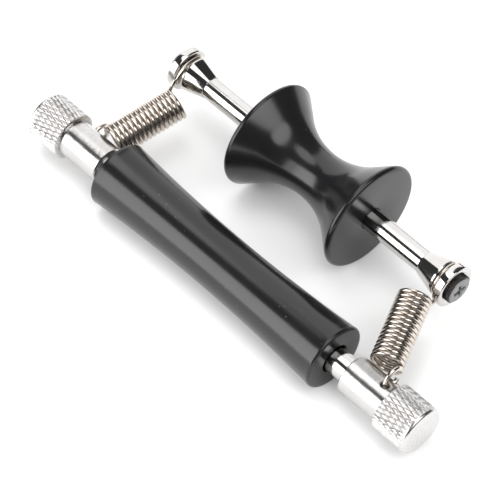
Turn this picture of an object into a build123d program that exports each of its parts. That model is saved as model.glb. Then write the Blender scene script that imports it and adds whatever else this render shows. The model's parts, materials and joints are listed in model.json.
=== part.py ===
from build123d import *
import os
from math import acos, cos, degrees, hypot, pi, radians, sin, tan

os.makedirs("parts", exist_ok=True)

# Rolling capo: a long string roller and a short hourglass neck roller lie side by
# side along X, joined at their ends by two extension springs.
# Millimetres, +Z up. The origin is on the resting surface, below the middle.
# "Along" is a distance from the middle of an axle, positive towards the nearer end.

# ---------------------------------------------------------------- driving sizes
overall_length = 115.0          # over both knobs
axle_spacing = 28.25            # between the two axles, seen from above
neck_offset = -2.2              # neck axle's middle, along X
rim_radius = 0.9                # rounding of the string roller's ends
land_width = 0.1                # straight edge before the rounding starts

# string roller
string_length = 67.0
string_end_radius = 7.8
string_waist_radius = 6.45
string_offset = -1.25           # where it stands between the collars, along X
end_wall = 1.5                  # rubber over the core's ends
core_radius = 5.2
bush_length = 7.8
bush_radius = 4.15

# rod, collars, knobs and studs
rod_radius = 3.0
rod_seat = 4.6                  # how far the rod goes into each collar
collar_radius = 4.4
collar_length = 11.1
collar_chamfer = 0.25
knob_radius = 5.6
knob_length = 9.1
knob_chamfer = 0.7
stud_radius = 1.5
stud_in_rod = 7.5
stud_in_knob = 5.0
hole_beyond_stud = 1.0          # rod's tapped hole, past the stud's end
hook_inset = 2.4                # hook hole's centre, from the collar's outer end

# neck roller
neck_length = 32.2
flange_radius = 12.85
neck_waist_radius = 5.75
neck_waist_arc = 17.0
neck_rim_radius = 0.8
flank_angle = 35.0
cover_offset = 0.57             # neck cover's middle, from the neck axle's middle
neck_end_wall = 2.0
neck_core_radius = 4.0
axle_radius = 2.6
axle_length = 65.2              # between the two cones
spigot_radius = 2.1
spigot_length = 3.0

# cones, caps and end screws
cone_small_radius = 2.75
cone_large_radius = 4.15
cone_length = 5.5
cone_lip = 0.35
groove_radius = 3.25
groove_side_gap = 0.125         # beside the spring wire, each side
cap_radius = 5.1
cap_width = 2.15
cap_chamfer = 0.35
screw_radius = 1.3
screw_in_axle = 2.4
hole_beyond_screw = 0.5         # axle's tapped hole, past the screw's end
head_radius = 3.4
head_height = 1.25
head_edge_radius = 0.3
recess_span = 3.4
recess_width = 0.8
recess_depth = 0.8

# springs
wire_radius = 0.5
coil_radius = 3.3               # to the middle of the wire
coil_pitch = 1.1
coil_turns = 15.0625
coil_to_neck_axle = 7.3         # from the neck axle to the coil's last turn
hook_radius = 2.35              # side hook, to the middle of the wire
hook_rise = 1.2                 # hook's centre, over the collar's surface
hook_step = 20.0                # degrees between the hook's points
mouth_flare = 0.6               # how much wider than the wire the hook hole's mouths are
points_per_turn = 16
loop_start = 70.0               # where the wire joins the loop, from straight ahead
loop_run = -310.0               # and how far round it goes
bend_pull = 1.3                 # how far each bend keeps its first and last direction
loop_steps = 18

# clearances
running_clearance = 0.05        # radial, between pieces that turn on each other
seat_clearance = 0.02           # radial, between pieces that are fixed together
bore_clearance = 0.3            # radial, where a rod only passes through
side_clearance = 0.05           # along the axle, at a bush
hook_clearance = 0.15           # round the spring wire in the collar

# Each end: outward direction, angle of the collar's hook hole round the rod, lean of
# the coil, its last turn along X, and where its wire meets the hook and how far it runs.
ENDS = {
    "right": dict(out=1, hole_angle=58.0, lean=23.2, coil_x=34.6, meet=5.0, run=300.0),
    "left": dict(out=-1, hole_angle=-15.0, lean=12.2, coil_x=37.6, meet=-60.0, run=-260.0),
}

# ---------------------------------------------------------------- worked-out sizes
half_depth = (string_end_radius + axle_spacing + flange_radius) / 2
string_y = string_end_radius - half_depth
neck_y = string_y + axle_spacing
string_z = string_end_radius
neck_z = flange_radius
knob_outer = overall_length / 2
collar_outer = knob_outer - knob_length
collar_inner = collar_outer - collar_length
rod_end = collar_inner + rod_seat
hook_x = collar_outer - hook_inset
hook_reach = collar_radius + hook_rise       # hook's centre, from the rod's axis
mouth_radius = wire_radius + mouth_flare
cone_inner = axle_length / 2
cone_outer = cone_inner + cone_length
groove_width = 2 * (wire_radius + groove_side_gap)
groove_outer = cone_outer + groove_width
cap_outer = groove_outer + cap_width
loop_radius = groove_radius + running_clearance + wire_radius


def axle_plane(x, y, z, out=1):
    """A sketch plane through an axle: its first axis runs outward, its second is up."""
    return Plane(origin=(x, y, z), x_dir=(out, 0, 0), z_dir=(0, -out, 0))


def string_plane(x=0.0, out=1):
    return axle_plane(x, string_y, string_z, out)


def neck_plane(x=neck_offset, out=1):
    return axle_plane(x, neck_y, neck_z, out)


string_axis = Axis((0, string_y, string_z), (1, 0, 0))
neck_axis = Axis((0, neck_y, neck_z), (1, 0, 0))


def save(piece, name):
    """Label a finished piece and write it to its own file."""
    piece.part.label = name
    export_step(piece.part, f"parts/{name}.step")


def turned(plane, axis, outline, *bores):
    """A turned piece. Each bore is (from, to, radius) along the axle."""
    with BuildPart() as piece:
        with BuildSketch(plane):
            with BuildLine():
                Polyline(*outline, close=True)
            make_face()
        revolve(axis=axis)
        for start, stop, radius in bores:
            with BuildSketch(plane):
                with BuildLine():
                    Polyline((start, 0), (stop, 0), (stop, radius), (start, radius), close=True)
                make_face()
            revolve(axis=axis, mode=Mode.SUBTRACT)
    return piece


# ---------------------------------------------------------------- string rod
rod_hole_floor = rod_end - stud_in_rod - hole_beyond_stud
rod_hole_radius = stud_radius + running_clearance
string_rod = turned(
    string_plane(),
    string_axis,
    [(-rod_end, 0), (rod_end, 0), (rod_end, rod_radius), (-rod_end, rod_radius)],
    (rod_hole_floor, rod_end, rod_hole_radius),
    (-rod_end, -rod_hole_floor, rod_hole_radius),
)
save(string_rod, "string_rod")

# ---------------------------------------------------------------- string roller
half_string = string_length / 2
half_core = half_string - end_wall
string_land = half_string - rim_radius - land_width
with BuildPart() as string_roller_sleeve:
    with BuildSketch(string_plane(string_offset)):
        with BuildLine():
            ThreePointArc(
                (-string_land, string_end_radius),
                (0, string_waist_radius),
                (string_land, string_end_radius),
            )
            Polyline(
                (string_land, string_end_radius),
                (half_string, string_end_radius),
                (half_string, 0),
                (-half_string, 0),
                (-half_string, string_end_radius),
                (-string_land, string_end_radius),
            )
        rim = make_face()
        corners = rim.vertices().group_by(Axis.Z)[-1]
        fillet(corners.group_by(Axis.X)[0] + corners.group_by(Axis.X)[-1], rim_radius)
    revolve(axis=string_axis)
    with BuildSketch(string_plane(string_offset)):
        with BuildLine():
            Polyline(
                (-half_core, 0),
                (half_core, 0),
                (half_core, core_radius + seat_clearance),
                (-half_core, core_radius + seat_clearance),
                close=True,
            )
        make_face()
    revolve(axis=string_axis, mode=Mode.SUBTRACT)
    with BuildSketch(string_plane(string_offset)):
        with BuildLine():
            Polyline(
                (-half_string, 0),
                (half_string, 0),
                (half_string, rod_radius + bore_clearance),
                (-half_string, rod_radius + bore_clearance),
                close=True,
            )
        make_face()
    revolve(axis=string_axis, mode=Mode.SUBTRACT)
save(string_roller_sleeve, "string_roller_sleeve")

bush_outer = half_core - side_clearance
bush_inner = bush_outer - bush_length
bush_seat = bush_inner - side_clearance
bush_seat_radius = bush_radius + running_clearance
string_roller_core = turned(
    string_plane(string_offset),
    string_axis,
    [(-half_core, 0), (half_core, 0), (half_core, core_radius), (-half_core, core_radius)],
    (-half_core, half_core, rod_radius + bore_clearance),
    (bush_seat, half_core, bush_seat_radius),
    (-half_core, -bush_seat, bush_seat_radius),
)
save(string_roller_core, "string_roller_core")

for side, end in ENDS.items():
    bush = turned(
        string_plane(string_offset, end["out"]),
        string_axis,
        [(bush_inner, 0), (bush_outer, 0), (bush_outer, bush_radius), (bush_inner, bush_radius)],
        (bush_inner, bush_outer, rod_radius + running_clearance),
    )
    save(bush, f"bush_{side}")

# ---------------------------------------------------------------- collars
mouth_half_angle = degrees(
    acos(
        (collar_radius**2 + hook_reach**2 - hook_radius**2) / (2 * collar_radius * hook_reach)
    )
)
mouth_floor = hook_reach - hook_radius - wire_radius - hook_clearance


def radial(angle):
    """Unit vector that points away from the rod at this angle, from +Y towards +Z."""
    return Vector(0, cos(radians(angle)), sin(radians(angle)))


for side, end in ENDS.items():
    out = end["out"]
    hook_plane_centre = Vector(out * hook_x, string_y, string_z)
    with BuildPart() as collar:
        with BuildSketch(string_plane(out=out)):
            with BuildLine():
                Polyline(
                    (collar_inner, 0),
                    (collar_outer, 0),
                    (collar_outer, collar_radius),
                    (collar_inner, collar_radius),
                    close=True,
                )
            make_face()
        revolve(axis=string_axis)
        chamfer(collar.edges().filter_by(GeomType.CIRCLE), collar_chamfer)
        for start, stop, radius in (
            (collar_inner, rod_end, rod_radius + seat_clearance),
            (rod_end, collar_outer, stud_radius + 2 * running_clearance),
        ):
            with BuildSketch(string_plane(out=out)):
                with BuildLine():
                    Polyline((start, 0), (stop, 0), (stop, radius), (start, radius), close=True)
                make_face()
            revolve(axis=string_axis, mode=Mode.SUBTRACT)
        for turn in (-mouth_half_angle, mouth_half_angle):
            direction = radial(end["hole_angle"] + turn)
            with BuildSketch(Plane(origin=hook_plane_centre, z_dir=direction).offset(mouth_floor)):
                Circle(mouth_radius)
            extrude(amount=collar_radius - mouth_floor + 1, mode=Mode.SUBTRACT)
        hook_centre = hook_plane_centre + radial(end["hole_angle"]) * hook_reach
        with Locations(Plane(origin=hook_centre, z_dir=(1, 0, 0))):
            Torus(hook_radius, wire_radius + hook_clearance, mode=Mode.SUBTRACT)
    save(collar, f"collar_{side}")

# ---------------------------------------------------------------- knobs and studs
stud_inner = rod_end - stud_in_rod
stud_outer = collar_outer + stud_in_knob
for side, end in ENDS.items():
    plane = string_plane(out=end["out"])
    stud = turned(
        plane,
        string_axis,
        [(stud_inner, 0), (stud_outer, 0), (stud_outer, stud_radius), (stud_inner, stud_radius)],
    )
    save(stud, f"knob_stud_{side}")
    knob = turned(
        plane,
        string_axis,
        [
            (collar_outer, 0),
            (knob_outer, 0),
            (knob_outer, knob_radius - knob_chamfer),
            (knob_outer - knob_chamfer, knob_radius),
            (collar_outer + collar_chamfer, knob_radius),
            (collar_outer, knob_radius - collar_chamfer),
        ],
        (collar_outer, stud_outer + side_clearance, stud_radius + running_clearance),
    )
    save(knob, f"knob_{side}")

# ---------------------------------------------------------------- neck roller
half_neck = neck_length / 2
half_neck_core = half_neck - neck_end_wall
arc_end_x = neck_waist_arc * sin(radians(flank_angle))
arc_end_radius = neck_waist_radius + neck_waist_arc * (1 - cos(radians(flank_angle)))
flank_end_x = arc_end_x + (flange_radius - arc_end_radius) / tan(radians(flank_angle))
cover_x = neck_offset + cover_offset
with BuildPart() as neck_roller_cover:
    with BuildSketch(neck_plane(cover_x)):
        with BuildLine():
            ThreePointArc(
                (-arc_end_x, arc_end_radius),
                (0, neck_waist_radius),
                (arc_end_x, arc_end_radius),
            )
            Polyline(
                (arc_end_x, arc_end_radius),
                (flank_end_x, flange_radius),
                (half_neck, flange_radius),
                (half_neck, 0),
                (-half_neck, 0),
                (-half_neck, flange_radius),
                (-flank_end_x, flange_radius),
                (-arc_end_x, arc_end_radius),
            )
        rim = make_face()
        corners = rim.vertices().group_by(Axis.Z)[-1]
        rim_limit = 0.45 * (half_neck - flank_end_x)
        fillet(corners.group_by(Axis.X)[0] + corners.group_by(Axis.X)[-1], min(neck_rim_radius, rim_limit))
    revolve(axis=neck_axis)
    for reach, radius in (
        (half_neck_core, neck_core_radius + seat_clearance),
        (half_neck, axle_radius + seat_clearance),
    ):
        with BuildSketch(neck_plane(cover_x)):
            with BuildLine():
                Polyline((-reach, 0), (reach, 0), (reach, radius), (-reach, radius), close=True)
            make_face()
        revolve(axis=neck_axis, mode=Mode.SUBTRACT)
save(neck_roller_cover, "neck_roller_cover")

neck_roller_core = turned(
    neck_plane(cover_x),
    neck_axis,
    [
        (-half_neck_core, 0),
        (half_neck_core, 0),
        (half_neck_core, neck_core_radius),
        (-half_neck_core, neck_core_radius),
    ],
    (-half_neck_core, half_neck_core, axle_radius + seat_clearance),
)
save(neck_roller_core, "neck_roller_core")

spigot_end = cone_inner + spigot_length
screw_end = spigot_end - screw_in_axle
thread_floor = screw_end - hole_beyond_screw
neck_axle = turned(
    neck_plane(),
    neck_axis,
    [
        (-spigot_end, 0),
        (spigot_end, 0),
        (spigot_end, spigot_radius),
        (cone_inner, spigot_radius),
        (cone_inner, axle_radius),
        (-cone_inner, axle_radius),
        (-cone_inner, spigot_radius),
        (-spigot_end, spigot_radius),
    ],
    (thread_floor, spigot_end, screw_radius + seat_clearance),
    (-spigot_end, -thread_floor, screw_radius + seat_clearance),
)
save(neck_axle, "neck_axle")

# ---------------------------------------------------------------- cones, caps, screws
for side, end in ENDS.items():
    plane = neck_plane(out=end["out"])
    cone = turned(
        plane,
        neck_axis,
        [
            (cone_inner, 0),
            (cone_inner, cone_small_radius),
            (cone_outer - cone_lip, cone_large_radius),
            (cone_outer, cone_large_radius),
            (cone_outer, groove_radius),
            (groove_outer, groove_radius),
            (groove_outer, 0),
        ],
        (cone_inner, spigot_end + side_clearance, spigot_radius + seat_clearance),
        (cone_inner, groove_outer, screw_radius + 2 * running_clearance),
    )
    save(cone, f"cone_{side}")
    cap = turned(
        plane,
        neck_axis,
        [
            (groove_outer, 0),
            (groove_outer, cap_radius - cap_chamfer),
            (groove_outer + cap_chamfer, cap_radius),
            (cap_outer - cap_chamfer, cap_radius),
            (cap_outer, cap_radius - cap_chamfer),
            (cap_outer, 0),
        ],
        (groove_outer, cap_outer, screw_radius + 2 * running_clearance),
    )
    save(cap, f"cap_{side}")
    with BuildPart() as end_screw:
        with BuildSketch(plane):
            with BuildLine():
                Polyline(
                    (screw_end, 0),
                    (screw_end, screw_radius),
                    (cap_outer, screw_radius),
                    (cap_outer, head_radius),
                    (cap_outer + head_height, head_radius),
                    (cap_outer + head_height, 0),
                    close=True,
                )
            make_face()
        revolve(axis=neck_axis)
        face_edge = end_screw.edges().filter_by(GeomType.CIRCLE).sort_by(Axis.X)[-1 if end["out"] > 0 else 0]
        fillet(face_edge, head_edge_radius)
        face_centre = Vector(neck_offset + end["out"] * (cap_outer + head_height), neck_y, neck_z)
        with BuildSketch(Plane(origin=face_centre, x_dir=(0, 1, 0), z_dir=(end["out"], 0, 0))):
            Rectangle(recess_span, recess_width)
            Rectangle(recess_width, recess_span)
        extrude(amount=-recess_depth, mode=Mode.SUBTRACT)
    save(end_screw, f"end_screw_{side}")

# ---------------------------------------------------------------- springs
pull_rise = neck_z - string_z
pull_length = hypot(axle_spacing, pull_rise)
pull = Vector(0, axle_spacing, pull_rise) / pull_length
lift = Vector(0, -pull.Z, pull.Y)


def bend(start, start_way, stop, stop_way, count):
    """Points of a smooth bend between two points, each with its direction of travel."""
    reach = bend_pull * (stop - start).length
    route = []
    for step in range(1, count):
        t = step / count
        route.append(
            start * (2 * t**3 - 3 * t**2 + 1)
            + start_way * (reach * (t**3 - 2 * t**2 + t))
            + stop * (3 * t**2 - 2 * t**3)
            + stop_way * (reach * (t**3 - t**2))
        )
    return route


def spring_route(end):
    """The wire's middle line: side hook in the collar, coil, full loop in the groove."""
    outward = Vector(end["out"], 0, 0)
    lean = radians(end["lean"])
    along = pull * cos(lean) - outward * sin(lean)
    across = outward * cos(lean) + pull * sin(lean)
    axle_line = Vector(0, string_y, string_z)
    last_turn = axle_line + pull * (pull_length - coil_to_neck_axle) + outward * end["coil_x"]
    first_turn = last_turn - along * (coil_pitch * coil_turns)
    winding = -end["out"]                       # both coils are wound right-handed

    coil = []
    for step in range(round(coil_turns * points_per_turn) + 1):
        turn = step / points_per_turn
        angle = winding * 2 * pi * turn
        spoke = across * cos(angle) + lift * sin(angle)
        coil.append(first_turn + along * (coil_pitch * turn) + spoke * coil_radius)
    start_way = lift * winding
    last_angle = winding * 2 * pi * coil_turns
    stop_way = (lift * cos(last_angle) - across * sin(last_angle)) * winding

    hook_centre = axle_line + outward * hook_x + radial(end["hole_angle"]) * hook_reach
    hook = []
    hook_steps = int(abs(end["run"]) / hook_step)
    for step in range(hook_steps + 1):
        angle = end["meet"] + end["run"] * step / hook_steps
        hook.append(hook_centre + radial(angle) * hook_radius)
    hook.reverse()
    hook_way = radial(end["meet"] - 90) * (1 if end["run"] > 0 else -1)

    groove_x = neck_offset + end["out"] * (cone_outer + groove_width / 2)
    loop_centre = Vector(groove_x, neck_y, neck_z)
    loop = []
    for step in range(loop_steps + 1):
        angle = radians(winding * (loop_start + loop_run * step / loop_steps))
        loop.append(loop_centre + (pull * cos(angle) + lift * sin(angle)) * loop_radius)
    meet = radians(winding * loop_start)
    loop_way = (lift * cos(meet) - pull * sin(meet)) * (winding * (1 if loop_run > 0 else -1))

    return (
        hook
        + bend(hook[-1], hook_way, coil[0], start_way, 5)
        + coil
        + bend(coil[-1], stop_way, loop[0], loop_way, 6)
        + loop
    )


for side, end in ENDS.items():
    route = spring_route(end)
    with BuildPart() as spring:
        with BuildLine() as wire:
            Spline(*route)
        with BuildSketch(Plane(origin=wire.wire() @ 0, z_dir=wire.wire() % 0)):
            Circle(wire_radius)
        sweep(path=wire.wire(), is_frenet=True)
    save(spring, f"spring_{side}")
    print(side, "spring:", round(spring.part.volume, 2), "mm3, wire", round(wire.wire().length, 2), "mm")
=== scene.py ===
import json
from math import cos, hypot, pi, radians, sin, sqrt, tan

import bpy
from mathutils import Matrix, Vector


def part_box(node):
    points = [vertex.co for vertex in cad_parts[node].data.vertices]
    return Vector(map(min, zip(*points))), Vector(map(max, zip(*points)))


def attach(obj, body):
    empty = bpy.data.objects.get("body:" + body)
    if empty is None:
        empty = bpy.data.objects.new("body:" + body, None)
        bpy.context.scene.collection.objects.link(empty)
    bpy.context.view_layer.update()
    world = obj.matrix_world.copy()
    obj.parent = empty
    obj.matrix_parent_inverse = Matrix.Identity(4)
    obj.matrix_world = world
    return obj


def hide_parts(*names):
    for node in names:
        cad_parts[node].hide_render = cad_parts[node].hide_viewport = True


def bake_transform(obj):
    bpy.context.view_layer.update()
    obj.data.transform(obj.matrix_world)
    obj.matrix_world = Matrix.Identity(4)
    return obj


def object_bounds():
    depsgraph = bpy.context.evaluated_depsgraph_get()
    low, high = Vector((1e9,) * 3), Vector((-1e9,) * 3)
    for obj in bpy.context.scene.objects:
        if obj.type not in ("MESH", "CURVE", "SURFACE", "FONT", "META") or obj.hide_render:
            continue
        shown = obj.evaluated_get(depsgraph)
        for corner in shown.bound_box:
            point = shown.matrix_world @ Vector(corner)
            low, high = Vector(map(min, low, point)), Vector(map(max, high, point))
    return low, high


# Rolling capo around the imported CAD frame: knurled knobs, spring wire, rubber rollers and
# turned nickel parts as detailed meshes. Metres, in the row frame: the rollers lie along X,
# the string roller on the -Y side, +Z up.

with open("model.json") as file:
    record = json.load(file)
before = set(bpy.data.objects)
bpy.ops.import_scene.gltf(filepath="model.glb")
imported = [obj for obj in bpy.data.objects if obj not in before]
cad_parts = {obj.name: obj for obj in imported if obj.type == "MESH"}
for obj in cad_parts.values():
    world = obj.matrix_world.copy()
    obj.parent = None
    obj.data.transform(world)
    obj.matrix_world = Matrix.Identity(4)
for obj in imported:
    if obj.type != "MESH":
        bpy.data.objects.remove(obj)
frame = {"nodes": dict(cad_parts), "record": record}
cad_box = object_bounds()
MM = 0.001

# ---------------------------------------------------------------- places from the frame
SIDES = {"right": 1, "left": -1}


def axle_line(node):
    """(y, z) of the axle that a turned CAD node is centred on."""
    low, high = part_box(node)
    return (low.y + high.y) / 2, (low.z + high.z) / 2


def reach(node, side):
    """(inner, outer) distance of a CAD node from the middle plane, on one side."""
    low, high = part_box(node)
    ends = sorted((SIDES[side] * low.x, SIDES[side] * high.x))
    return ends[0], ends[1]


def width_radius(node):
    """Largest radius of a turned CAD node."""
    low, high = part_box(node)
    return (high.y - low.y) / 2


string_axle = axle_line("string_rod")
neck_axle = axle_line("neck_axle")
axle_radius = width_radius("neck_axle")

# ---------------------------------------------------------------- sizes of the details
knob_bore = 1.55 * MM
knob_face_inset = 0.5 * MM          # where the inner face's chamfer starts, below the knurl
knob_chamfer_inset = 0.3 * MM
knob_chamfer_run = 0.06 * MM
knob_end_rounding = 0.7 * MM
rounding_steps = 6
knurl_start = 0.2 * MM
knurl_count = 34                    # diamonds round the knob
knurl_lead = 3.4 * MM               # a diamond's length along the knob
knurl_depth = 0.24 * MM
knurl_flat = 0.52                   # share of a diamond's height that its flat top cuts off
knurl_margin = 0.1 * MM
knurl_fade = 0.6 * MM               # length over which the knurl runs out at the end face
stud_gap = 0.05 * MM
steps_per_diamond = 10
row_step = 0.13 * MM

sleeve_waist = 6.45 * MM
sleeve_rim = 0.65 * MM
sleeve_rim_run = 3 * sleeve_rim     # from the end to where the rim's outline aims
sleeve_rim_end = 2 * sleeve_rim
sleeve_skin_stop = 1.3 * sleeve_rim
sleeve_rim_drop = 0.05 * MM
sleeve_bore = 5.22 * MM
sleeve_end_bore = 3.06 * MM
sleeve_mouth = 0.1 * MM             # rounding of the end bore's mouth
sleeve_mouth_run = 0.2 * MM

cover_waist = 5.75 * MM
cover_arc = 17.0 * MM
cover_gap = 0.02 * MM               # between the cover's bore and the axle
cover_mouth = 0.06 * MM
flank_angle = radians(38.0)
flank_step = radians(1.5)

cone_small = 2.75 * MM
cone_length = 5.5 * MM
cone_lip = 0.45 * MM
cone_edge = 0.12 * MM
cone_rim = 0.14 * MM
groove_radius = 3.25 * MM
groove_edge = 0.05 * MM
socket_radius = 2.12 * MM           # the cone's socket for the axle's spigot
socket_depth = 3.05 * MM
screw_bore = 1.4 * MM
cap_rim = 0.4 * MM
cap_lip = 0.45 * MM                 # the raised lip outside the screw's head
cap_lip_edge = 0.08 * MM
cap_seat_edge = 0.05 * MM
cap_seat_gap = 0.25 * MM
cap_seat_depth = 0.18 * MM

head_radius = 3.4 * MM
head_seat = 1.41 * MM               # from the head's face down to its seat
shank_radius = 1.3 * MM
shank_tip = 0.2 * MM
teeth = 40
steps_per_tooth = 6
tooth_depth = 0.16 * MM
head_steps = (                      # (below the face, in from the head's radius)
    (0.42 * MM, 0.0),
    (0.30 * MM, 0.20 * MM),
    (0.30 * MM, 0.34 * MM),
    (0.10 * MM, 0.42 * MM),
    (0.02 * MM, 0.60 * MM),
)
head_flat = 0.6                     # share of the head's radius that is quite flat
ground_depth = 0.25 * MM            # what lies this close to the face is ground bright
recess_span = 3.5 * MM
recess_width = 0.85 * MM
recess_depth = 0.8 * MM
recess_taper = 0.3                  # how much narrower it is at the bottom than at the face

wire_radius = 0.5 * MM
wire_sides = 16
wire_tip = 0.4                      # length over which a wire's end closes, in wire radii
tip_shares = (0.25, 0.55, 0.85)
coil_radius = 3.3 * MM
coil_pitch = 1.1 * MM
coil_turns = 15.0625
coil_to_neck_axle = 7.3 * MM
hook_radius = 2.35 * MM
hook_reach = 5.6 * MM
hook_inset = 2.4 * MM
loop_radius = 3.8 * MM
loop_start = 70.0
loop_run = -310.0
bend_pull = 1.3
turn_points = 40
bend_points = 24
degrees_per_point = 6

# hole_angle: the collar's hook hole, from +Y towards +Z. lean: the coil against the pull.
# coil_x: its last turn from the middle plane. meet, run: where the hook ends at the coil's
# side, and how far round it goes. All angles in degrees.
ENDS = {
    "right": dict(hole_angle=58.0, lean=23.2, coil_x=34.6 * MM, meet=5.0, run=300.0),
    "left": dict(hole_angle=-15.0, lean=12.2, coil_x=37.6 * MM, meet=-60.0, run=-260.0),
}


# ---------------------------------------------------------------- mesh helpers
def add_mesh(name, points, faces, sharp=38.0):
    """A smooth-shaded piece from points and faces, with edges over `sharp` degrees kept sharp."""
    mesh = bpy.data.meshes.new(name)
    mesh.from_pydata([tuple(p) for p in points], [], faces)
    mesh.validate()
    mesh.update()
    mesh.shade_smooth()
    mesh.set_sharp_from_angle(angle=radians(sharp))
    piece = bpy.data.objects.new(name, mesh)
    bpy.context.scene.collection.objects.link(piece)
    return piece


def rounded(corners, steps=6):
    """A closed outline from (along, radius, rounding) corners, each rounding as an arc."""
    outline = []
    for index, (x, r, rounding) in enumerate(corners):
        before = Vector(corners[index - 1][:2])
        here = Vector((x, r))
        after = Vector(corners[(index + 1) % len(corners)][:2])
        if rounding <= 0:
            outline.append((x, r))
            continue
        back = (before - here).normalized()
        ahead = (after - here).normalized()
        half = back.angle(ahead) / 2
        cut = rounding / tan(half)
        centre = here + (back + ahead).normalized() * (rounding / sin(half))
        start = (here + back * cut - centre).normalized()
        stop = (here + ahead * cut - centre).normalized()
        for step in range(steps + 1):
            outline.append(tuple(centre + start.slerp(stop, step / steps) * rounding))
    return outline


def lathe(name, axle, outline, out=1, steps=180, radius_at=None):
    """Turns an outline of (along X, radius) points round an axle, mirrored along X if out is -1.

    An outline that starts and ends on the axle makes a solid; any other is closed into a ring.
    The outline's order sets which way the faces look.
    radius_at(along, radius, angle) may change a point's radius, for knurls and teeth."""
    points = []
    rings = []
    for x, r in outline:
        turns = 1 if r == 0 else steps
        rings.append([len(points) + step % turns for step in range(steps)])
        for step in range(turns):
            angle = 2 * pi * step / steps
            size = radius_at(x, r, angle) if radius_at else r
            points.append((out * x, axle[0] + size * cos(angle), axle[1] + size * sin(angle)))
    faces = []
    for index, ring in enumerate(rings):
        inner = rings[index - 1]
        for step in range(steps):
            following = (step + 1) % steps
            corners = (inner[step], inner[following], ring[following], ring[step])
            face = tuple(dict.fromkeys(corners if out < 0 else corners[::-1]))
            if len(face) > 2:
                faces.append(face)
    return add_mesh(name, points, faces)


def fine_run(start, stop, step):
    """Evenly spaced numbers from start to stop, about a step apart."""
    count = max(1, round(abs(stop - start) / step))
    return [start + (stop - start) * index / count for index in range(count + 1)]


# ---------------------------------------------------------------- material helpers
class Shader:
    """A Principled material and short calls for the nodes that these finishes use."""

    def __init__(self, name, colour, metallic, roughness, **sockets):
        self.material = bpy.data.materials.new(name)
        self.material.use_nodes = True
        self.nodes = self.material.node_tree.nodes
        self.links = self.material.node_tree.links
        self.surface = self.nodes["Principled BSDF"]
        self.set("Base Color", (*colour, 1.0))
        self.set("Metallic", metallic)
        self.set("Roughness", roughness)
        for socket, value in sockets.items():
            self.set(socket.replace("_", " "), value)
        self.place = self.nodes.new("ShaderNodeTexCoord").outputs["Object"]

    def set(self, socket, value):
        self.surface.inputs[socket].default_value = value

    def link(self, output, node, socket):
        self.links.new(output, node.inputs[socket])

    def math(self, operation, first, second=None, third=None):
        node = self.nodes.new("ShaderNodeMath")
        node.operation = operation
        for index, value in enumerate((first, second, third)):
            if value is None:
                continue
            if isinstance(value, (int, float)):
                node.inputs[index].default_value = value
            else:
                self.links.new(value, node.inputs[index])
        return node.outputs[0]

    def scaled(self, x, y, z):
        """Object coordinates multiplied along each axis."""
        node = self.nodes.new("ShaderNodeMapping")
        self.link(self.place, node, "Vector")
        node.inputs["Scale"].default_value = (x, y, z)
        return node.outputs["Vector"]

    def noise(self, vector, scale, detail=3.0, rough=0.55):
        node = self.nodes.new("ShaderNodeTexNoise")
        self.link(vector, node, "Vector")
        node.inputs["Scale"].default_value = scale
        node.inputs["Detail"].default_value = detail
        node.inputs["Roughness"].default_value = rough
        return node.outputs[0]

    def cells(self, vector, scale):
        node = self.nodes.new("ShaderNodeTexVoronoi")
        self.link(vector, node, "Vector")
        node.inputs["Scale"].default_value = scale
        return node.outputs["Distance"]

    def ramp(self, value, low, high, from_low=0.0, from_high=1.0):
        """Value turned from one range into another, held at its ends."""
        node = self.nodes.new("ShaderNodeMapRange")
        self.link(value, node, "Value")
        node.inputs["From Min"].default_value = from_low
        node.inputs["From Max"].default_value = from_high
        node.inputs["To Min"].default_value = low
        node.inputs["To Max"].default_value = high
        return node.outputs["Result"]

    def blend(self, factor, first, second):
        node = self.nodes.new("ShaderNodeMix")
        node.data_type = "RGBA"
        self.link(factor, node, "Factor")
        node.inputs["A"].default_value = (*first, 1.0)
        node.inputs["B"].default_value = (*second, 1.0)
        return node.outputs["Result"]

    def colour(self, output):
        self.link(output, self.surface, "Base Color")

    def roughness(self, output):
        self.link(output, self.surface, "Roughness")

    def bump(self, height, distance):
        node = self.nodes.new("ShaderNodeBump")
        node.inputs["Strength"].default_value = 1.0
        node.inputs["Distance"].default_value = distance
        self.link(height, node, "Height")
        self.link(node.outputs["Normal"], self.surface, "Normal")

    def attribute(self, name):
        node = self.nodes.new("ShaderNodeAttribute")
        node.attribute_name = name
        return node.outputs["Fac"]


def turned_metal(name, colour, dark, roughness, ring_scale, ring_height, spread):
    """Nickel plate over turned stock: faint rings round the X axis, stains and fine scuffs."""
    shader = Shader(name, colour, 1.0, roughness)
    rings = shader.noise(shader.scaled(ring_scale, 0.6, 0.6), 1000.0, 4.0, 0.6)
    clouds = shader.noise(shader.scaled(1, 1, 1), 160.0, 2.0)
    scuffs = shader.noise(shader.scaled(0.15, 1, 1), 2600.0, 2.0)
    stain_and_groove_shade = shader.ramp(clouds, 0.0, 1.0, 0.35, 0.75)
    shader.colour(shader.blend(stain_and_groove_shade, colour, dark))
    uneven = shader.math("MULTIPLY_ADD", rings, spread, roughness - spread / 2)
    shader.roughness(shader.math("MULTIPLY_ADD", scuffs, spread / 2, uneven))
    shader.bump(shader.math("MULTIPLY_ADD", scuffs, 0.3, rings), ring_height)
    return shader.material


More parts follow.
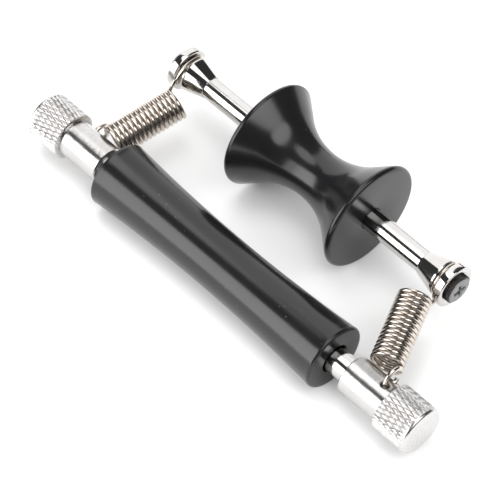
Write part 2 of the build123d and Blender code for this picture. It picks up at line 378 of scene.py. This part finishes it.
def black_rubber():
    """Smooth moulded rubber: glossy, with cloudy gloss, a fine skin and a few dust specks."""
    black = (0.006, 0.006, 0.0065)
    shader = Shader("black_rubber", black, 0.0, 0.15, Specular_IOR_Level=0.5)
    clouds = shader.noise(shader.scaled(1, 1, 1), 120.0, 3.0)
    skin = shader.noise(shader.scaled(1, 1, 1), 2600.0, 3.0)
    specks = shader.cells(shader.scaled(1, 1, 1), 900.0)
    patches = shader.noise(shader.scaled(1, 1, 1), 90.0, 1.0)
    speck = shader.math("LESS_THAN", specks, 0.06)
    dusty = shader.math("GREATER_THAN", patches, 0.56)
    dust = shader.math("MULTIPLY", speck, dusty)
    shader.colour(shader.blend(dust, black, (0.22, 0.22, 0.22)))
    shader.roughness(shader.math("MULTIPLY_ADD", clouds, 0.14, 0.13))
    shader.bump(skin, 0.004 * MM)
    return shader.material


def knurled_nickel():
    """Satin nickel with dull grooves between the knurl's diamonds, with shade painted into the
    grooves as a darker colour.
    """
    bright = (0.62, 0.61, 0.605)
    shader = Shader("knurled_nickel", bright, 1.0, 0.26)
    groove = shader.attribute("groove")
    grain = shader.noise(shader.scaled(1, 1, 1), 2400.0, 3.0)
    # Painted shade: the knurl's grooves are darkened by their depth, broken up by the grain.
    stain_and_groove_shade = shader.math("MULTIPLY", groove, shader.ramp(grain, 0.55, 1.0, 0.3, 0.7))
    shader.colour(shader.blend(stain_and_groove_shade, bright, (0.33, 0.305, 0.29)))
    dull = shader.math("MULTIPLY_ADD", groove, 0.16, 0.22)
    shader.roughness(shader.math("MULTIPLY_ADD", grain, 0.10, dull))
    shader.bump(grain, 0.005 * MM)
    return shader.material


def spring_wire():
    """Nickel-plated wire: bright and slightly warm, with cloudy stains and a fine grain."""
    bright = (0.66, 0.605, 0.55)
    dark = (0.56, 0.49, 0.43)
    shader = Shader("spring_wire", bright, 1.0, 0.12)
    clouds = shader.noise(shader.scaled(1, 1, 1), 500.0, 3.0)
    grain = shader.noise(shader.scaled(1, 1, 1), 5200.0, 2.0)
    stain_and_groove_shade = shader.ramp(clouds, 0.0, 1.0, 0.4, 0.7)
    shader.colour(shader.blend(stain_and_groove_shade, bright, dark))
    shader.roughness(shader.math("MULTIPLY_ADD", clouds, 0.12, 0.14))
    shader.bump(grain, 0.003 * MM)
    return shader.material


def screw_steel():
    """Blackened head whose raised face is ground to a satin gray."""
    dark = (0.045, 0.04, 0.038)
    shader = Shader("screw_steel", dark, 0.85, 0.35)
    face = shader.attribute("ground_face")
    grain = shader.noise(shader.scaled(1, 1, 1), 2200.0, 3.0)
    shade = shader.math("MULTIPLY", face, shader.ramp(grain, 0.8, 1.0, 0.3, 0.7))
    shader.colour(shader.blend(shade, dark, (0.24, 0.245, 0.25)))
    shader.roughness(shader.math("MULTIPLY_ADD", grain, 0.16, 0.30))
    shader.bump(grain, 0.010 * MM)
    return shader.material


def plain_plastic(name, colour, shade):
    """Moulded or drawn stock that shows only inside the rollers' ends."""
    shader = Shader(name, colour, 0.0, 0.45)
    clouds = shader.noise(shader.scaled(1, 1, 1), 300.0, 3.0)
    grain = shader.noise(shader.scaled(1, 1, 1), 2000.0, 2.0)
    shader.colour(shader.blend(clouds, colour, shade))
    shader.roughness(shader.math("MULTIPLY_ADD", grain, 0.2, 0.35))
    shader.bump(grain, 0.006 * MM)
    return shader.material


def make_finishes():
    """Every material, by the record's slot name."""
    return {
        "nickel_bar": turned_metal(
            "nickel_bar", (0.61, 0.60, 0.59), (0.55, 0.53, 0.515), 0.10, 2.0, 0.0006 * MM, 0.05
        ),
        "nickel_satin": turned_metal(
            "nickel_satin", (0.58, 0.57, 0.565), (0.53, 0.515, 0.505), 0.17, 4.0, 0.05 * MM, 0.10
        ),
        "nickel_polished": turned_metal(
            "nickel_polished", (0.61, 0.60, 0.59), (0.55, 0.53, 0.515), 0.07, 3.0, 0.0006 * MM, 0.04
        ),
        "stud_steel": turned_metal(
            "stud_steel", (0.55, 0.55, 0.55), (0.42, 0.42, 0.42), 0.35, 8.0, 0.02 * MM, 0.10
        ),
        "core_tube": turned_metal(
            "core_tube", (0.62, 0.62, 0.63), (0.50, 0.50, 0.51), 0.30, 4.0, 0.006 * MM, 0.10
        ),
        "knurled_nickel": knurled_nickel(),
        "spring_wire": spring_wire(),
        "screw_steel": screw_steel(),
        "black_rubber": black_rubber(),
        "bush_plastic": plain_plastic("bush_plastic", (0.62, 0.60, 0.55), (0.52, 0.50, 0.46)),
    }


def dress(piece, slot, node, body=None):
    """Gives a new piece its finish, hides the CAD node that it stands for, and hangs it on its body
    if it rides one.
    """
    piece.data.materials.clear()
    piece.data.materials.append(finishes[slot])
    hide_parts(node)
    if body:
        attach(piece, body)


# ---------------------------------------------------------------- knurled knobs
def triangle(value):
    """0 at whole numbers, rising to 1 half-way between them."""
    return 1 - abs(2 * (value % 1) - 1)


def knurl_height(along, angle):
    """0 in a groove and 1 on the flat top of a diamond."""
    turn = knurl_count * angle / (2 * pi)
    row = along / knurl_lead
    height = min(triangle(turn + row), triangle(turn - row))
    return min(1.0, height / (1 - knurl_flat))


def knob_outline(inner, outer, radius, bore_end):
    """A knob's half section, from the blind end of its bore round to the middle of its face."""
    shoulder = outer - knob_end_rounding
    outline = [(bore_end, 0), (bore_end, knob_bore), (inner, knob_bore)]
    outline.append((inner, radius - knob_face_inset))
    outline.append((inner + knob_chamfer_run, radius - knob_chamfer_inset))
    outline += [(x, radius) for x in fine_run(inner + knurl_start, shoulder, row_step)]
    for step in range(1, rounding_steps + 1):
        angle = pi / 2 * step / rounding_steps
        drop = knob_end_rounding * (1 - cos(angle))
        outline.append((shoulder + knob_end_rounding * sin(angle), radius - drop))
    return outline + [(outer, radius * share) for share in (0.75, 0.5, 0.25, 0)]


def mark_grooves(knob, side, start, stop, radius):
    """Stores how deep each point lies in the knurl, 0 to 1, which the material uses to paint shade
    into the grooves and to dull them.
    """
    grooves = []
    for vertex in knob.data.vertices:
        size = hypot(vertex.co.y - string_axle[0], vertex.co.z - string_axle[1])
        on_knurl = start < SIDES[side] * vertex.co.x < stop
        if on_knurl and size > radius - knob_face_inset:
            grooves.append(min(1.0, (radius - size) / knurl_depth))
        else:
            grooves.append(0.0)
    groove = knob.data.attributes.new("groove", "FLOAT", "POINT")
    groove.data.foreach_set("value", grooves)


def build_knob(side):
    node = f"knob_{side}"
    inner, outer = reach(node, side)
    radius = width_radius(node)
    stud_end = reach(f"knob_stud_{side}", side)[1] + stud_gap
    shoulder = outer - knob_end_rounding
    knurl_stop = shoulder - knurl_margin

    def cut(x, r, angle):
        if r != radius:
            return r
        fade = max(0.0, min(1.0, (knurl_stop - x) / knurl_fade))
        return r - knurl_depth * ((1 - knurl_height(x, angle)) * fade)

    outline = knob_outline(inner, outer, radius, stud_end)
    steps = knurl_count * steps_per_diamond
    knob = lathe(node + "_knurled", string_axle, outline, SIDES[side], steps, cut)
    mark_grooves(knob, side, inner + knurl_margin, shoulder, radius)
    dress(knob, "knurled_nickel", node, f"knob_{side}_body")


# ---------------------------------------------------------------- rubber rollers
def arc_between(half, waist, end, steps):
    """Points of a shallow arc through the waist at 0 and the end radius at both ends."""
    rise = end - waist
    size = (half * half + rise * rise) / (2 * rise)
    points = []
    for x in fine_run(-half, half, 2 * half / steps):
        points.append((x, waist + size - sqrt(size * size - x * x)))
    return points


def build_sleeve():
    node = "string_roller_sleeve"
    low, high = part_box(node)
    middle = (low.x + high.x) / 2
    half = (high.x - low.x) / 2
    radius = width_radius(node)
    core_low, core_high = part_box("string_roller_core")
    core_half = (core_high.x - core_low.x) / 2
    ends = rounded(
        [
            (half, sleeve_end_bore, sleeve_mouth),
            (half, radius, sleeve_rim),
            (half - sleeve_rim_run, radius - sleeve_rim_drop, 0),
        ],
        8,
    )
    right_end = [point for point in ends if point[0] > half - sleeve_rim_end]
    skin = arc_between(half, sleeve_waist, radius, 64)
    skin = [point for point in skin if abs(point[0]) < half - sleeve_skin_stop]
    left_end = [(-x, r) for x, r in reversed(right_end)]
    inside = [
        (-half + sleeve_mouth_run, sleeve_end_bore),
        (-core_half, sleeve_end_bore),
        (-core_half, sleeve_bore),
        (core_half, sleeve_bore),
        (core_half, sleeve_end_bore),
    ]
    outline = right_end + skin[::-1] + left_end + inside
    outline = [(middle + x, r) for x, r in outline]
    sleeve = lathe(node + "_rubber", string_axle, outline[::-1], 1, 192)
    dress(sleeve, "black_rubber", node, "string_roller")


def build_cover():
    node = "neck_roller_cover"
    low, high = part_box(node)
    middle = (low.x + high.x) / 2
    half = (high.x - low.x) / 2
    radius = width_radius(node)
    bore = axle_radius + cover_gap
    arc_x = cover_arc * sin(flank_angle)
    arc_r = cover_waist + cover_arc * (1 - cos(flank_angle))
    flank_x = arc_x + (radius - arc_r) / tan(flank_angle)
    edge_radius = radius + (half - flank_x) * tan(flank_angle)
    half_corner = (pi / 2 - flank_angle) / 2
    rim = (edge_radius - radius) / (1 / tan(half_corner) - 1)
    corners = [(half, bore, cover_mouth), (half, edge_radius, rim), (arc_x, arc_r, 0)]
    end = rounded(corners, 10)
    right_end = end[:-1]
    left_end = [(-x, r) for x, r in reversed(right_end)]
    angles = fine_run(-flank_angle, flank_angle, flank_step)
    skin = [(cover_arc * sin(a), cover_waist + cover_arc * (1 - cos(a))) for a in angles]
    outline = right_end + skin[::-1] + left_end
    outline = [(middle + x, r) for x, r in outline]
    cover = lathe(node + "_rubber", neck_axle, outline[::-1], 1, 224)
    dress(cover, "black_rubber", node, "neck_roller")


# ---------------------------------------------------------------- cones, caps, end screws
def build_cone(side):
    node = f"cone_{side}"
    inner, outer = reach(node, side)
    radius = width_radius(node)
    cone_end = inner + cone_length
    outline = rounded(
        [
            (inner, cone_small, cone_edge),
            (cone_end - cone_lip, radius, cone_edge),
            (cone_end, radius, cone_rim),
            (cone_end, groove_radius, groove_edge),
            (outer, groove_radius, 0),
            (outer, screw_bore, 0),
            (inner + socket_depth, screw_bore, 0),
            (inner + socket_depth, socket_radius, 0),
            (inner, socket_radius, 0),
        ]
    )
    cone = lathe(node + "_turned", neck_axle, outline[::-1], SIDES[side], 160)
    dress(cone, "nickel_polished", node, "neck_roller")


def build_cap(side):
    node = f"cap_{side}"
    inner, outer = reach(node, side)
    radius = width_radius(node)
    outline = rounded(
        [
            (inner, screw_bore, 0),
            (inner, radius, cap_rim),
            (outer, radius, cap_rim),
            (outer, head_radius + cap_lip, cap_lip_edge),
            (outer - cap_seat_depth, head_radius + cap_seat_gap, cap_seat_edge),
            (outer - cap_seat_depth, screw_bore, 0),
        ]
    )
    cap = lathe(node + "_turned", neck_axle, outline[::-1], SIDES[side], 160)
    dress(cap, "nickel_polished", node, "neck_roller")


def cross_cutter(name, face, out):
    """Two crossed, tapered bars through a screw's face, which is at this place along X."""
    box_faces = ((0, 1, 2, 3), (7, 6, 5, 4), (0, 4, 5, 1), (1, 5, 6, 2), (2, 6, 7, 3), (3, 7, 4, 0))
    ends = ((face - recess_depth, 1 - recess_taper), (face + recess_depth, 1 + recess_taper))
    points = []
    faces = []
    for span, width in ((recess_span, recess_width), (recess_width, recess_span)):
        first = len(points)
        for x, share in ends:
            for dy, dz in ((-1, -1), (1, -1), (1, 1), (-1, 1)):
                y = neck_axle[0] + dy * span / 2 * share
                z = neck_axle[1] + dz * width / 2 * share
                points.append((out * x, y, z))
        for corners in box_faces:
            box_face = tuple(first + corner for corner in corners)
            faces.append(box_face[::-1] if out > 0 else box_face)
    return add_mesh(name, points, faces)


def cut_cross(piece, face, out):
    """Cuts the cross recess into a screw's head."""
    cutter = cross_cutter(piece.name + "_cross", face, out)
    boolean = piece.modifiers.new("cross", "BOOLEAN")
    boolean.operation = "DIFFERENCE"
    boolean.solver = "EXACT"
    boolean.use_self = True
    boolean.object = cutter
    bpy.context.view_layer.update()
    evaluated = piece.evaluated_get(bpy.context.evaluated_depsgraph_get())
    cut = bpy.data.meshes.new_from_object(evaluated)
    piece.modifiers.clear()
    piece.data = cut
    bpy.data.objects.remove(cutter)


def build_screw(side):
    node = f"end_screw_{side}"
    out = SIDES[side]
    inner, outer = reach(node, side)
    seat = outer - head_seat
    outline = [
        (inner, 0),
        (inner, shank_radius - shank_tip),
        (inner + shank_tip, shank_radius),
        (seat, shank_radius),
        (seat, head_radius),
    ]
    outline += [(outer - below, head_radius - inset) for below, inset in head_steps]
    outline += [(outer, head_flat * head_radius), (outer, 0)]

    def cut(x, r, angle):
        if r == head_radius:
            return r - tooth_depth * (1 - triangle(teeth * angle / (2 * pi)))
        return r

    screw = lathe(node + "_serrated", neck_axle, outline, out, teeth * steps_per_tooth, cut)
    cut_cross(screw, outer, out)
    ground = screw.data.attributes.new("ground_face", "FLOAT", "POINT")
    ground_start = outer - ground_depth
    values = [1.0 if out * v.co.x > ground_start else 0.0 for v in screw.data.vertices]
    ground.data.foreach_set("value", values)
    dress(screw, "screw_steel", node, "neck_roller")


# ---------------------------------------------------------------- springs
pull_y = neck_axle[0] - string_axle[0]
pull_z = neck_axle[1] - string_axle[1]
pull_length = hypot(pull_y, pull_z)
pull = Vector((0, pull_y, pull_z)) / pull_length
lift = Vector((0, -pull.z, pull.y))


def radial(angle):
    """Unit vector at this many degrees from +Y towards +Z."""
    return Vector((0, cos(radians(angle)), sin(radians(angle))))


def bend(start, start_way, stop, stop_way):
    """Points of a smooth bend between two points, each with its direction of travel."""
    size = bend_pull * (stop - start).length
    route = []
    for step in range(1, bend_points):
        t = step / bend_points
        route.append(
            start * (2 * t**3 - 3 * t**2 + 1)
            + start_way * (size * (t**3 - 2 * t**2 + t))
            + stop * (3 * t**2 - 2 * t**3)
            + stop_way * (size * (t**3 - t**2))
        )
    return route


def spring_route(side):
    """The wire's middle line and the centres of the coil's first and last turn."""
    end = ENDS[side]
    out = SIDES[side]
    outward = Vector((out, 0, 0))
    lean = radians(end["lean"])
    along = pull * cos(lean) - outward * sin(lean)
    across = outward * cos(lean) + pull * sin(lean)
    axle = Vector((0, *string_axle))
    last_turn = axle + pull * (pull_length - coil_to_neck_axle) + outward * end["coil_x"]
    first_turn = last_turn - along * (coil_pitch * coil_turns)
    winding = -out

    coil = []
    for turn in fine_run(0, coil_turns, 1 / turn_points):
        angle = winding * 2 * pi * turn
        spoke = across * cos(angle) + lift * sin(angle)
        coil.append(first_turn + along * (coil_pitch * turn) + spoke * coil_radius)
    start_way = lift * winding
    last_angle = winding * 2 * pi * coil_turns
    stop_way = (lift * cos(last_angle) - across * sin(last_angle)) * winding

    hook_x = reach(f"collar_{side}", side)[1] - hook_inset
    hook_centre = axle + outward * hook_x + radial(end["hole_angle"]) * hook_reach
    hook_angles = fine_run(end["meet"] + end["run"], end["meet"], degrees_per_point)
    hook = [hook_centre + radial(angle) * hook_radius for angle in hook_angles]
    hook_way = radial(end["meet"] - 90) * (1 if end["run"] > 0 else -1)

    cone_end = reach(f"cone_{side}", side)[0] + cone_length
    groove_x = (cone_end + reach(f"cap_{side}", side)[0]) / 2
    loop_centre = Vector((out * groove_x, *neck_axle))
    loop = []
    for degrees in fine_run(loop_start, loop_start + loop_run, degrees_per_point):
        angle = radians(winding * degrees)
        loop.append(loop_centre + (pull * cos(angle) + lift * sin(angle)) * loop_radius)
    meet = radians(winding * loop_start)
    loop_way = (pull * sin(meet) - lift * cos(meet)) * winding

    route = hook + bend(hook[-1], hook_way, coil[0], start_way)
    route += coil + bend(coil[-1], stop_way, loop[0], loop_way) + loop
    return route, first_turn, last_turn


def tube(name, route, radius, sides):
    """A wire along a route, with rounded ends, its rings turned as little as they can be."""
    count = len(route)
    ways = []
    for index in range(count):
        ways.append((route[min(index + 1, count - 1)] - route[max(index - 1, 0)]).normalized())
    spoke = ways[0].orthogonal().normalized()
    rings = []
    for share in tip_shares:
        beyond = radius * wire_tip * (1 - share)
        rings.append((route[0] - ways[0] * beyond, ways[0], spoke, sqrt(1 - (1 - share) ** 2)))
    for index in range(count):
        way = ways[index]
        spoke = (spoke - way * spoke.dot(way)).normalized()
        rings.append((route[index], way, spoke, 1.0))
    for share in reversed(tip_shares):
        beyond = radius * wire_tip * (1 - share)
        rings.append((route[-1] + ways[-1] * beyond, ways[-1], spoke, sqrt(1 - (1 - share) ** 2)))
    points = []
    for centre, way, first, size in rings:
        second = way.cross(first)
        for step in range(sides):
            angle = 2 * pi * step / sides
            points.append(centre + (first * cos(angle) + second * sin(angle)) * (radius * size))
    faces = [tuple(reversed(range(sides)))]
    for ring in range(len(rings) - 1):
        for step in range(sides):
            following = (step + 1) % sides
            here = ring * sides
            ahead = here + sides
            faces.append((here + step, here + following, ahead + following, ahead + step))
    last = (len(rings) - 1) * sides
    faces.append(tuple(range(last, last + sides)))
    return add_mesh(name, points, faces, 60.0)


def build_spring(side):
    node = f"spring_{side}"
    route, first_turn, last_turn = spring_route(side)
    spring = tube(node + "_wire", route, wire_radius, wire_sides)
    dress(spring, "spring_wire", node)
    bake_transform(spring)


# ---------------------------------------------------------------- studio
view_azimuth = radians(46.21)
view_elevation = radians(53.79)
view_distance = 0.65
aim_offset = Vector((-1.06, -8.96, -7.17)) * MM
lens = 219.9
floor_size = 0.9
floor_steps = 96
floor_white = 0.62
floor_mottle = 0.02
light_distance = 1.6
backdrop_light = 1.5
gloss_light = 0.05


def build_camera():
    low, high = cad_box
    aim = (low + high) / 2 + aim_offset
    back = Vector(
        (
            sin(view_azimuth) * cos(view_elevation),
            -cos(view_azimuth) * cos(view_elevation),
            sin(view_elevation),
        )
    )
    right = Vector((cos(view_azimuth), sin(view_azimuth), 0))
    up = back.cross(right)
    camera = bpy.data.objects.new("camera", bpy.data.cameras.new("camera"))
    camera.data.lens = lens
    camera.data.clip_start = 0.05
    camera.data.clip_end = 20.0
    turned = Matrix((right, up, back)).transposed().to_4x4()
    camera.matrix_world = Matrix.Translation(aim + back * view_distance) @ turned
    bpy.context.scene.collection.objects.link(camera)
    bpy.context.scene.camera = camera


def build_floor():
    """A pale floor at the height of the object's lowest point."""
    height = cad_box[0].z
    points = [(0, 0, height)]
    for step in range(floor_steps):
        angle = 2 * pi * step / floor_steps
        points.append((floor_size * cos(angle), floor_size * sin(angle), height))
    faces = [(0, step + 1, (step + 1) % floor_steps + 1) for step in range(floor_steps)]
    floor = add_mesh("floor", points, faces)
    pale = (floor_white,) * 3
    shade = (floor_white - floor_mottle,) * 3
    shader = Shader("pale_floor", pale, 0.0, 0.9, Specular_IOR_Level=0.1)
    mottle = shader.noise(shader.scaled(1, 1, 1), 40.0, 3.0)
    shader.colour(shader.blend(mottle, pale, shade))
    shader.bump(mottle, 0.02 * MM)
    floor.data.materials.append(shader.material)


def softbox(name, sideways, turn, width, height, radiance, shape="RECTANGLE"):
    """A flat soft light, placed as its reflection lies on the rollers.

    sideways leans it towards +X, turn goes round the X axis from +Y over the top, and width
    and height are how wide it looks each way, all in degrees."""
    low, high = cad_box
    centre = (low + high) / 2
    a = radians(sideways)
    b = radians(turn)
    way = Vector((sin(a), cos(a) * cos(b), cos(a) * sin(b)))
    across = Vector((cos(a), -sin(a) * cos(b), -sin(a) * sin(b)))
    light = bpy.data.lights.new(name, "AREA")
    light.shape = shape
    light.size = 2 * light_distance * tan(radians(width / 2))
    light.size_y = 2 * light_distance * tan(radians(height / 2))
    area = light.size * light.size_y * (pi / 4 if shape == "ELLIPSE" else 1)
    light.energy = radiance * pi * area
    lamp = bpy.data.objects.new(name, light)
    turned = Matrix((across, way.cross(across), way)).transposed().to_4x4()
    lamp.matrix_world = Matrix.Translation(centre + way * light_distance) @ turned
    lamp.visible_camera = False
    bpy.context.scene.collection.objects.link(lamp)


def build_world():
    """A pale, evenly lit room that gloss sees only dimly, as between a studio's dark flags."""
    world = bpy.data.worlds.new("studio")
    bpy.context.scene.world = world
    world.use_nodes = True
    nodes = world.node_tree.nodes
    links = world.node_tree.links
    room = nodes["Background"]
    room.inputs["Color"].default_value = (gloss_light, gloss_light, gloss_light, 1.0)
    backdrop = nodes.new("ShaderNodeBackground")
    white = (backdrop_light, backdrop_light, backdrop_light, 1.0)
    backdrop.inputs["Color"].default_value = white
    path = nodes.new("ShaderNodeLightPath")
    chosen = nodes.new("ShaderNodeMixShader")
    links.new(path.outputs["Is Glossy Ray"], chosen.inputs["Fac"])
    links.new(backdrop.outputs[0], chosen.inputs[1])
    links.new(room.outputs[0], chosen.inputs[2])
    links.new(chosen.outputs[0], nodes["World Output"].inputs["Surface"])


def build_lights():
    softbox("front_box", -29, 160, 36, 50, 4.4)
    softbox("front_side_box", -3, 160, 14, 46, 2.6)
    softbox("top_box", -10, 89, 38, 34, 2.6, "ELLIPSE")
    softbox("top_middle_box", -10, 89, 27, 25, 2.6, "ELLIPSE")
    softbox("top_heart_box", -10, 89, 15, 14, 2.6, "ELLIPSE")
    softbox("right_box", 36, 90, 28, 58, 3.6, "ELLIPSE")
    softbox("back_box", -42, 40, 44, 66, 1.5)


# ---------------------------------------------------------------- the object
finishes = make_finishes()
slots = {part["node"]: part["material_slot"] for part in frame["record"]["subparts"]}
for name, part in frame["nodes"].items():
    part.data.materials.clear()
    part.data.materials.append(finishes[slots[name]])
build_sleeve()
build_cover()
for side in SIDES:
    build_knob(side)
    build_cone(side)
    build_cap(side)
    build_screw(side)
    build_spring(side)
build_floor()
build_lights()
build_world()
build_camera()
bpy.context.scene.view_settings.view_transform = "Standard"
